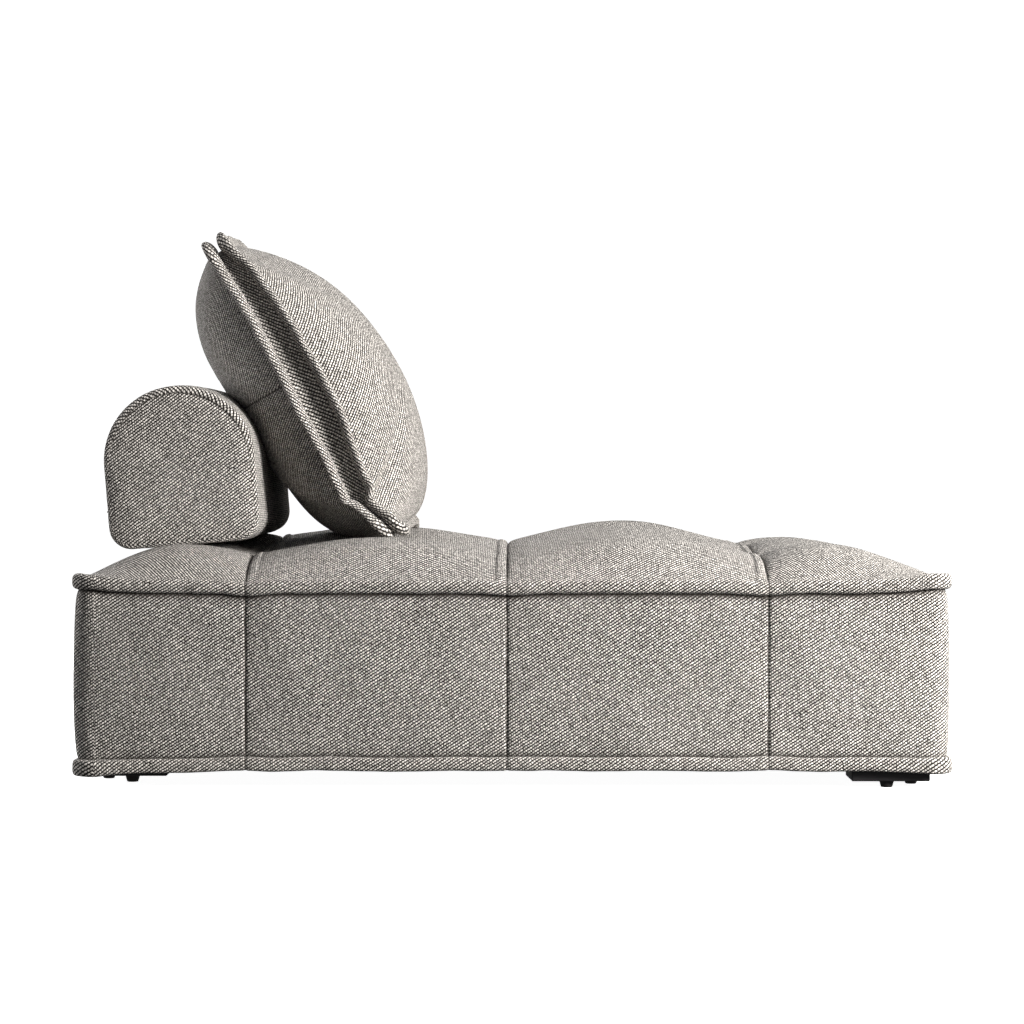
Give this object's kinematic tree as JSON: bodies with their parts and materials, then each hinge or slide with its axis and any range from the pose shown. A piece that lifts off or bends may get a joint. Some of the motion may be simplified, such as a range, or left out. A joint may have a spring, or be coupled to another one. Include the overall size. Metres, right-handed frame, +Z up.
{
  "type": "upholstered daybed",
  "caption": "Low tufted platform with flanged edges, a D-shaped bolster and a large flanged back pillow leaning on it, on low dark feet.",
  "frame": {"origin": "on the floor, under the middle of the platform", "axes": "+X from the head end, where the bolster is, to the foot end; +Z up; -Y the front long side"},
  "size_m": [1.5, 1, 0.9646],
  "materials": {
    "upholstery": "coarse two-tone twill, light greige over dark brown",
    "foam": "open-cell foam",
    "fibre_fill": "polyester fibre in a white liner",
    "webbing": "elastic webbing",
    "dust_cloth": "black non-woven cloth",
    "timber": "sawn and sanded",
    "foot_lacquer": "satin black lacquer",
    "glide_plastic": "moulded",
    "screw_steel": "zinc plated",
    "ballast_steel": "primed",
    "zip_tape": "woven tape with a nylon coil",
    "slider_metal": "painted zinc"
  },
  "bodies": {
    "platform": {"glides": "glide_plastic", "foot_block_head_front": "foot_lacquer", "foot_block_head_back": "foot_lacquer", "foot_block_foot_front": "foot_lacquer", "foot_block_foot_back": "foot_lacquer", "foot_screws": "screw_steel", "dust_cover": "dust_cloth", "side_rail_front": "timber", "side_rail_back": "timber", "head_rail": "timber", "foot_rail": "timber", "cross_rails": "timber", "corner_blocks": "timber", "foot_support_boards": "timber", "frame_screws": "screw_steel", "crosswise_webbing": "webbing", "lengthwise_webbing": "webbing", "seat_foam": "foam", "side_pad_front": "foam", "side_pad_back": "foam", "side_pad_head": "foam", "side_pad_foot": "foam", "side_cover_front": "upholstery", "side_cover_back": "upholstery", "side_cover_head": "upholstery", "side_cover_foot": "upholstery", "top_flange": "upholstery", "bottom_flange": "upholstery", "tuft_fill_pads": "fibre_fill", "tufted_top_head": "upholstery", "tufted_top_pillow": "upholstery", "tufted_top_seat": "upholstery", "tufted_top_foot": "upholstery"},
    "bolster": {"bolster_foam": "foam", "bolster_base_board": "timber", "bolster_weights": "ballast_steel", "bolster_sleeve": "upholstery", "bolster_end_front": "upholstery", "bolster_end_back": "upholstery", "bolster_zip": "zip_tape"},
    "bolster_slider": {"bolster_zip_slider": "slider_metal"},
    "pillow": {"pillow_fill": "fibre_fill", "pillow_front_panel": "upholstery", "pillow_back_panel_upper": "upholstery", "pillow_back_panel_lower": "upholstery", "pillow_gusset": "upholstery", "pillow_front_flange": "upholstery", "pillow_back_flange": "upholstery", "pillow_zip": "zip_tape"},
    "pillow_slider": {"pillow_zip_slider": "slider_metal"}
  },
  "joints": [
    {"name": "bolster_lift", "type": "slide", "parent": "platform", "child": "bolster", "axis": [-0.8, 0, 0.6], "range_m": [0, 0.35]},
    {"name": "pillow_lift", "type": "slide", "parent": "platform", "child": "pillow", "axis": [0.6, 0, 0.8], "range_m": [0, 0.45]},
    {"name": "bolster_zip_slide", "type": "slide", "parent": "bolster", "child": "bolster_slider", "axis": [0, 1, 0], "range_m": [0, 0.561]},
    {"name": "pillow_zip_slide", "type": "slide", "parent": "pillow", "child": "pillow_slider", "axis": [0, 1, 0], "range_m": [0, 0.441]}
  ]
}
